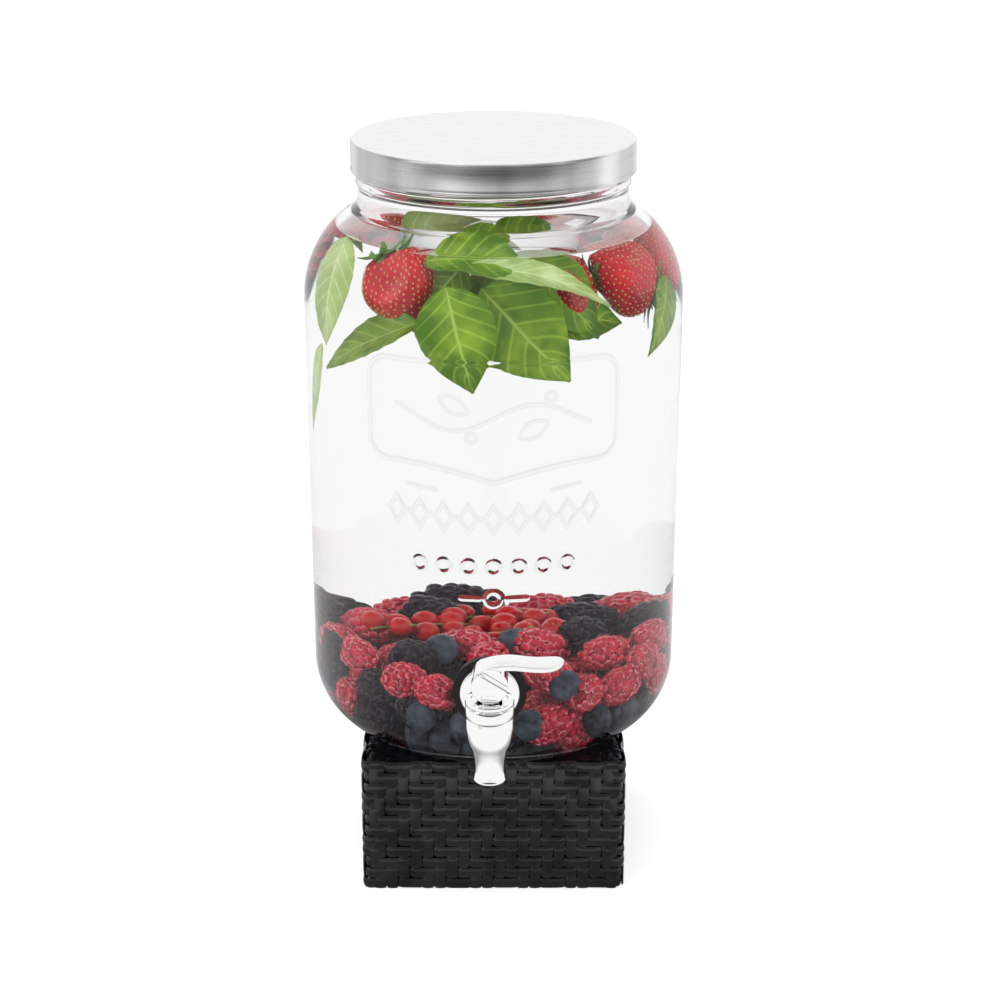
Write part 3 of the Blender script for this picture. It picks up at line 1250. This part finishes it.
def makeLever():
    t = tap
    half = t["leverWide"] / 2
    middle = smoothLine([(-0.0062, 0.0042), (-0.0040, 0.0066), (-0.0004, 0.0085), (0.0055, 0.0097), (0.0120, 0.0099),
                         (0.0180, 0.0093), (0.0240, 0.0088), (0.0300, 0.0090), (0.0345, 0.0097), (0.0378, 0.0106)], 5)
    thick = np.interp(np.linspace(0, 1, len(middle)), [0, 0.12, 0.35, 0.75, 0.93, 1], [0.0020, 0.0027, 0.0027, 0.0023, 0.0017, 0.0008])
    across = 12
    bpy.ops.mesh.primitive_grid_add(x_subdivisions=len(middle) - 1, y_subdivisions=across, size=2, location=(0, 0, 0))
    paddle = bpy.context.object
    points = readPoints(paddle)
    column = np.clip(np.rint((points[:, 0] + 1) / 2 * (len(middle) - 1)).astype(int), 0, len(middle) - 1)
    line = np.array(middle)
    tipStart = 0.0378 - half
    fromTip = np.clip((line[:, 0] - tipStart) / half, 0, 1)
    wide = half * np.sqrt(np.clip(1 - fromTip ** 2.2, 0.02, 1)) * (1 - 0.17 * np.sin(np.linspace(0, math.pi, len(middle))) ** 0.5)
    lower = line[column, 1] - thick[column] * 0.5
    crown = 0.0005 * (1 - points[:, 1] ** 2)
    placed = np.stack([line[column, 0] + t["x"], points[:, 1] * wide[column] + t["y"], lower + t["hubZ"] + crown], 1)
    writePoints(paddle, placed)
    hold(paddle)
    bpy.ops.object.mode_set(mode="EDIT")
    bpy.ops.mesh.select_all(action="SELECT")
    bpy.ops.mesh.extrude_region_move(TRANSFORM_OT_translate={"value": (0, 0, 0.001)})
    bpy.ops.object.mode_set(mode="OBJECT")
    points = readPoints(paddle)
    for vertex in paddle.data.vertices:
        if vertex.select:
            x = vertex.co.x - t["x"]
            index = int(np.argmin(np.abs(line[:, 0] - x)))
            vertex.co.z += thick[index] - 0.001
    tidyShell(paddle)
    addModifier(paddle, "BEVEL", width=0.0006, segments=3, limit_method="ANGLE", angle_limit=math.radians(50))

    bpy.ops.mesh.primitive_cylinder_add(vertices=96, radius=t["hubR"], depth=t["leverWide"] - 0.0008,
                                        location=(t["x"], t["y"], t["hubZ"]), rotation=(math.pi / 2, 0, 0))
    hub = settle(bpy.context.object)
    addModifier(hub, "BEVEL", width=0.0005, segments=3, limit_method="ANGLE", angle_limit=math.radians(50))
    for front in (-1, 1):
        # above a slanting step the cheek is set back, where the paddle's web leaves it
        bpy.ops.mesh.primitive_cube_add(size=1, location=(0, 0, 0))
        step = bpy.context.object
        step.scale = (0.030, 0.0022, 0.0140)
        step.rotation_euler = (0, math.radians(32.5), 0)
        step.location = (t["x"] + 0.0021 + 0.00376, t["y"] + front * half, t["hubZ"] + 0.0045 + 0.0059)
        cutWith(hub, settle(step))
        bpy.ops.mesh.primitive_cube_add(size=1, location=(0, 0, 0))
        groove = bpy.context.object
        groove.scale = (0.0190, 0.0030, 0.0011)
        groove.rotation_euler = (0, math.radians(32.5), 0)
        groove.location = (t["x"] + 0.0012, t["y"] + front * half, t["hubZ"] + 0.0026)
        cutWith(hub, settle(groove))
        bpy.ops.mesh.primitive_cube_add(size=1, location=(t["x"] - 0.0004, t["y"] + front * (half - 0.0002), t["hubZ"] - 0.0063))
        pocket = bpy.context.object
        pocket.scale = (0.0080, 0.0020, 0.0030)
        pocket.rotation_euler = (0, math.radians(4), 0)
        settle(pocket)
        addModifier(pocket, "BEVEL", width=0.0006, segments=3)
        cutWith(hub, pocket)
    cutWith(paddle, hub, "UNION")
    bpy.ops.mesh.primitive_cube_add(size=1, location=(t["x"] - 0.0027, t["y"], t["hubZ"] - 0.0037))
    slot = bpy.context.object
    slot.scale = (0.0186, 0.0086, 0.0166)
    cutWith(paddle, settle(slot))
    paddle.name = "tapLever"
    smooth(paddle, 34)
    return dress(paddle, chromePaint, "lever", "tap_chrome", "lever")


def paintKeptNodes():
    finishes = {"outer_washer": rubberPaint, "inner_washer": rubberPaint, "valve_seal": rubberPaint,
                "lock_nut": brassPaint, "valve_stem": steelPaint, "lever_pin": steelPaint,
                "lid_seal": siliconePaint, "lid_liner": linerPaint}
    for name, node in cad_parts.items():
        material = finishes.get(name, boardPaint)
        if name in finishes or "board" in name or "rail" in name or "post" in name:
            for index in range(len(node.material_slots)):
                node.material_slots[index].material = material


# ---- light, floor and camera ---------------------------------------------

studio = {
    "cameraDistance": 1.3,
    "cameraLift": 19.607,      # degrees above the horizon
    "aimHeight": 0.200,
    "lens": 84.05,
    "shift": (0.0065, 0.0062),
    "floorSize": 6.0,
    "frontDark": 0.38,
    "throughGlass": 0.80,      # how bright the dark front is when it is seen through the glass
    "strips": [(-118, 11, 1.6), (122, 9, 1.05), (-152, 4, 0.9)],
}


def makeFloor():
    # the camera sees a white floor with soft shadows; mirrors and glass see it light behind the jar,
    # dark close in front of the riser and light again further out
    paint = Paint("paleFloor", Roughness=0.6, Specular_IOR_Level=0.1, Emission_Strength=0.50,
                  Emission_Color=(1, 1, 1, 1))
    grain = paint.grain(3, 3.0)
    paint.feed("Base Color", paint.blendColours(paint.spread(grain, 0.3, 0.7), (0.60, 0.60, 0.60), (0.62, 0.62, 0.62)))
    x, y, z = paint.axes()
    near = paint.spread((x * x + y * y) ** 0.5, 0.16, 0.22, 0.35, 1.0)
    through = paint.node("ShaderNodeLightPath", output="Is Transmission Ray") * studio["throughGlass"]
    far = paint.node("ShaderNodeMath", {"operation": "MAXIMUM"}, [paint.spread(y, -1.15, -0.85, 0.10, 1.0), through])
    level = near * far * 0.97
    seen = paint.node("ShaderNodeCombineXYZ", None, [level, level, level])
    glow = paint.node("ShaderNodeEmission", None, {"Color": seen, "Strength": 1.0})
    path = paint.node("ShaderNodeLightPath", output="Is Camera Ray")
    mix = paint.tree.nodes.new("ShaderNodeMixShader")
    paint.tree.links.new(path.socket, mix.inputs[0])
    paint.tree.links.new(glow.socket, mix.inputs[1])
    paint.tree.links.new(paint.shader.outputs[0], mix.inputs[2])
    paint.tree.links.new(mix.outputs[0], paint.tree.nodes["Material Output"].inputs["Surface"])
    bpy.ops.mesh.primitive_circle_add(vertices=96, radius=studio["floorSize"], fill_type="NGON", location=(0, 0, 0))
    floor = bpy.context.object
    floor.name = "paleFloor"
    floor.data.materials.append(paint.material)


def makeWorld():
    # a bright field: white behind and above, darker towards the sides and the camera
    world = bpy.data.worlds.new("whiteStudio")
    bpy.context.scene.world = world
    world.use_nodes = True
    tree = world.node_tree
    nodes, links = tree.nodes, tree.links

    def ranged(source, fromLow, fromHigh, toLow, toHigh):
        made = nodes.new("ShaderNodeMapRange")
        made.interpolation_type = "SMOOTHSTEP"
        for index, value in enumerate((fromLow, fromHigh, toLow, toHigh)):
            made.inputs[index + 1].default_value = value
        links.new(source, made.inputs[0])
        return made.outputs[0]

    def joined(operation, first, second):
        made = nodes.new("ShaderNodeMath")
        made.operation = operation
        links.new(first, made.inputs[0])
        links.new(second, made.inputs[1])
        return made.outputs[0]

    place = nodes.new("ShaderNodeTexCoord")
    split = nodes.new("ShaderNodeSeparateXYZ")
    links.new(place.outputs["Generated"], split.inputs[0])
    behind = ranged(split.outputs[1], -0.15, 0.45, studio["frontDark"], 1.0)
    above = ranged(split.outputs[2], 0.35, 0.75, 0.0, 1.0)
    glow = joined("MAXIMUM", behind, above)
    azimuth = nodes.new("ShaderNodeMath")
    azimuth.operation = "ARCTAN2"
    links.new(split.outputs[0], azimuth.inputs[0])
    links.new(split.outputs[1], azimuth.inputs[1])
    for middle, half, bright in studio["strips"]:
        # an upright soft box: azimuth is measured from behind, clockwise
        rising = ranged(azimuth.outputs[0], math.radians(middle - half - 3), math.radians(middle - half + 3), 0.0, bright)
        falling = ranged(azimuth.outputs[0], math.radians(middle + half - 3), math.radians(middle + half + 3), 1.0, 0.0)
        glow = joined("MAXIMUM", glow, joined("MULTIPLY", rising, falling))
    path = nodes.new("ShaderNodeLightPath")
    through = ranged(path.outputs["Is Transmission Ray"], 0.0, 1.0, 0.0, studio["throughGlass"])
    glow = joined("MAXIMUM", glow, through)
    mix = nodes.new("ShaderNodeMix")
    links.new(path.outputs["Is Camera Ray"], mix.inputs[0])
    links.new(glow, mix.inputs[2])
    mix.inputs[3].default_value = 1.0
    background = nodes["Background"]
    links.new(mix.outputs[0], background.inputs["Strength"])
    background.inputs["Color"].default_value = (1, 1, 1, 1)


def addLamp(name, place, aim, size, power):
    data = bpy.data.lights.new(name, "AREA")
    data.shape = "RECTANGLE"
    data.size, data.size_y = size
    data.energy = power
    lamp = bpy.data.objects.new(name, data)
    bpy.context.collection.objects.link(lamp)
    lamp.location = place
    lamp.visible_glossy = lamp.visible_transmission = False
    lamp.rotation_euler = (Vector(aim) - Vector(place)).to_track_quat("-Z", "Y").to_euler()
    return lamp


def makeCamera():
    lift = math.radians(studio["cameraLift"])
    away = studio["cameraDistance"]
    aim = Vector((0, 0, studio["aimHeight"]))
    data = bpy.data.cameras.new("camera")
    camera = bpy.data.objects.new("camera", data)
    bpy.context.collection.objects.link(camera)
    camera.location = aim + Vector((0, -away * math.cos(lift), away * math.sin(lift)))
    camera.rotation_euler = (aim - camera.location).to_track_quat("-Z", "Y").to_euler()
    data.lens = studio["lens"]
    data.sensor_width = 36
    data.shift_x, data.shift_y = studio["shift"]
    data.clip_start = 0.05
    bpy.context.scene.camera = camera


def makeStudio():
    makeFloor()
    makeWorld()
    makeCamera()
    addLamp("overhead", (-0.1, -0.2, 1.6), (0, 0, 0.15), (1.4, 1.2), 9)
    addLamp("leftBox", (-1.25, -0.95, 0.75), (0, 0, 0.2), (0.45, 1.1), 12)
    addLamp("rightBox", (1.15, -1.05, 0.65), (0, 0, 0.2), (0.30, 1.0), 9)
    scene = bpy.context.scene
    scene.view_settings.view_transform = "Standard"
    scene.cycles.max_bounces = 24
    scene.cycles.transmission_bounces = 20
    scene.cycles.transparent_max_bounces = 24
    scene.cycles.diffuse_bounces = 4
    scene.cycles.glossy_bounces = 6


makeRiser()
print("riser woven")
makeJar()
makeFootRing()
makeWater()
print("jar and water made")
makeHeap()
makeAfloat()
print("fruit and leaves made")
makeLid()
makeTapBody()
makeBonnet()
makeLever()
paintKeptNodes()
print("lid and tap made")
makeStudio()
